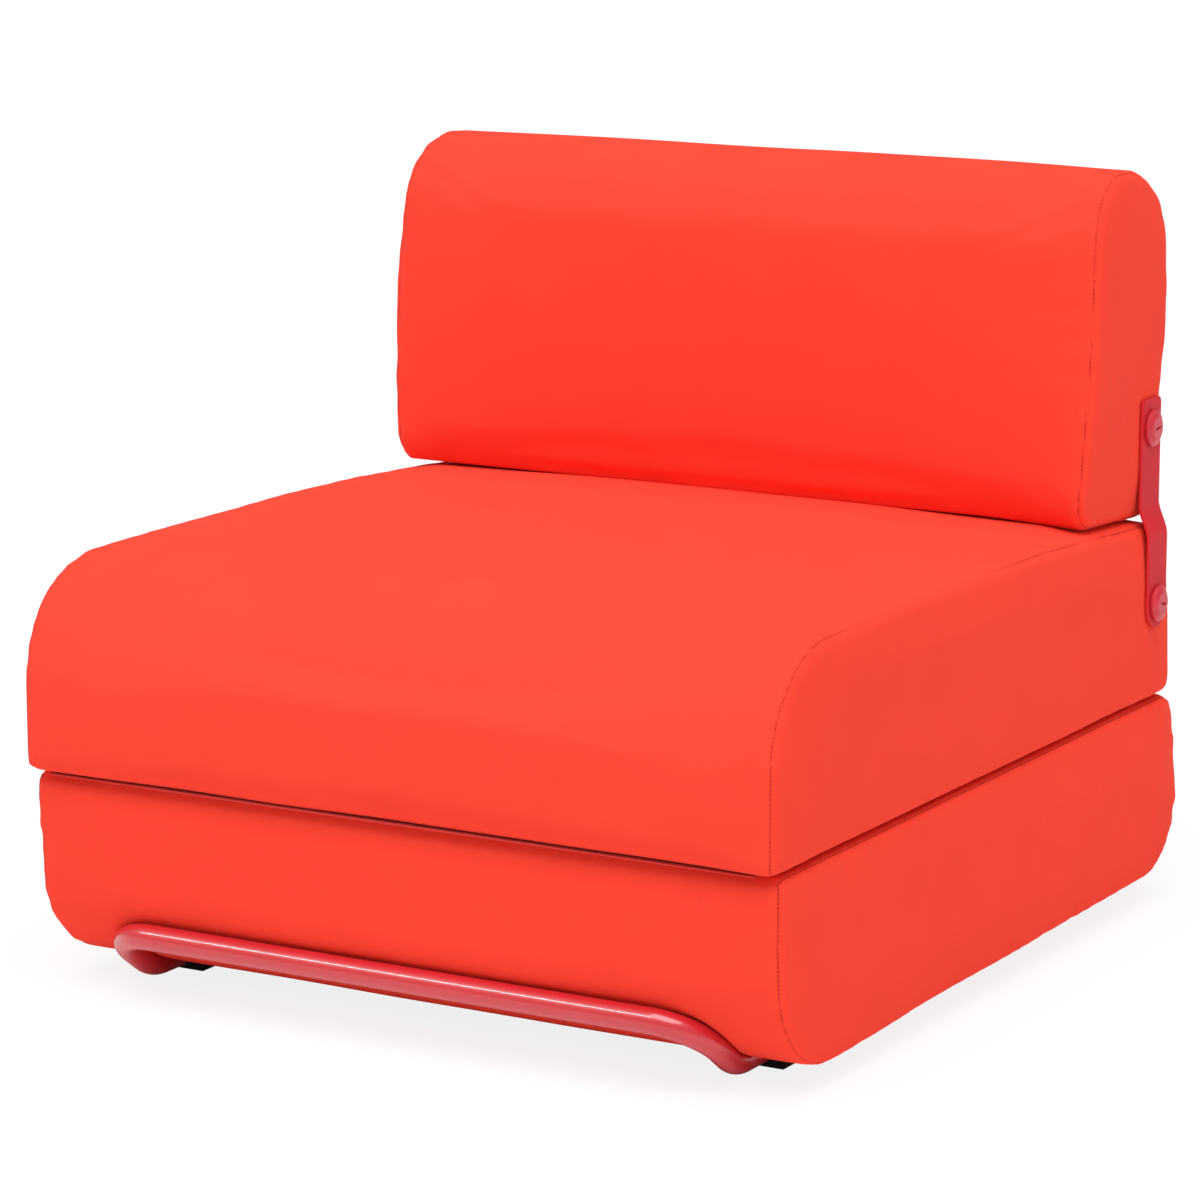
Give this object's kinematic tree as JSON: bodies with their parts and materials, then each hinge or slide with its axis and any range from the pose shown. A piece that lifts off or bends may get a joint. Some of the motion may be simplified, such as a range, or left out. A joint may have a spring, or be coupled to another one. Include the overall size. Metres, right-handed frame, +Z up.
{
  "type": "convertible chair bed",
  "caption": "Low upholstered chair whose seat folds forward and whose strapped back swings down behind it to make a single bed, on a bent tube frame.",
  "frame": {"origin": "on the floor under the middle of the folded chair", "axes": "+Z up, +X to the right seen from the front, -Y towards the sitter's feet"},
  "size_m": [0.8418, 0.9107, 0.7628],
  "materials": {
    "cover_fabric": "tightly woven orange-red upholstery cloth, matt",
    "foam": "open-cell polyurethane foam",
    "plywood": "birch plywood, sanded",
    "powder_coat": "gloss red powder coat on steel tube",
    "glide_plastic": "black moulded plastic",
    "zinc_steel": "zinc-plated steel",
    "strap": "red coated strap, satin",
    "stud": "red lacquered stud, semi-gloss",
    "hinge_webbing": "woven webbing in the cover's colour"
  },
  "bodies": {
    "base": {"tube_frame": "powder_coat", "cross_tube_front": "powder_coat", "cross_tube_rear": "powder_coat", "end_plugs": "glide_plastic", "foot_front_left": "glide_plastic", "foot_front_right": "glide_plastic", "foot_rear_left": "glide_plastic", "foot_rear_right": "glide_plastic", "base_cover": "cover_fabric", "base_foam": "foam", "base_panel": "plywood", "frame_bolts": "zinc_steel", "threaded_inserts": "zinc_steel", "fold_hinge": "hinge_webbing"},
    "seat": {"seat_cover": "cover_fabric", "seat_foam": "foam", "seat_studs": "stud", "seat_anchor_plates": "zinc_steel", "seat_stud_nuts": "zinc_steel"},
    "strap_left": {"strap_left": "strap"},
    "strap_right": {"strap_right": "strap"},
    "back": {"back_cover": "cover_fabric", "back_foam": "foam", "back_studs": "stud", "back_anchor_plates": "zinc_steel", "back_stud_nuts": "zinc_steel"}
  },
  "joints": [
    {"name": "seat_fold", "type": "hinge", "parent": "base", "child": "seat", "pos_m": [0, -0.4485, 0.217], "axis": [1, 0, 0], "range_deg": [0, 180]},
    {"name": "strap_left_swing", "type": "hinge", "parent": "seat", "child": "strap_left", "pos_m": [-0.4122, 0.356, 0.323], "axis": [-1, 0, 0], "range_deg": [0, 110.4]},
    {"name": "strap_right_swing", "type": "hinge", "parent": "seat", "child": "strap_right", "pos_m": [0.4122, 0.356, 0.323], "axis": [-1, 0, 0], "range_deg": [0, 110.4]},
    {"name": "back_swing", "type": "hinge", "parent": "strap_left", "child": "back", "pos_m": [-0.4022, 0.356, 0.501], "axis": [-1, 0, 0], "range_deg": [-20.4, 0]}
  ],
  "couplings": [
    {"joint": "strap_left_swing", "follows": "seat_fold", "ratio": 0.6133},
    {"joint": "strap_right_swing", "follows": "seat_fold", "ratio": 0.6133},
    {"joint": "back_swing", "follows": "seat_fold", "ratio": -0.1133}
  ]
}
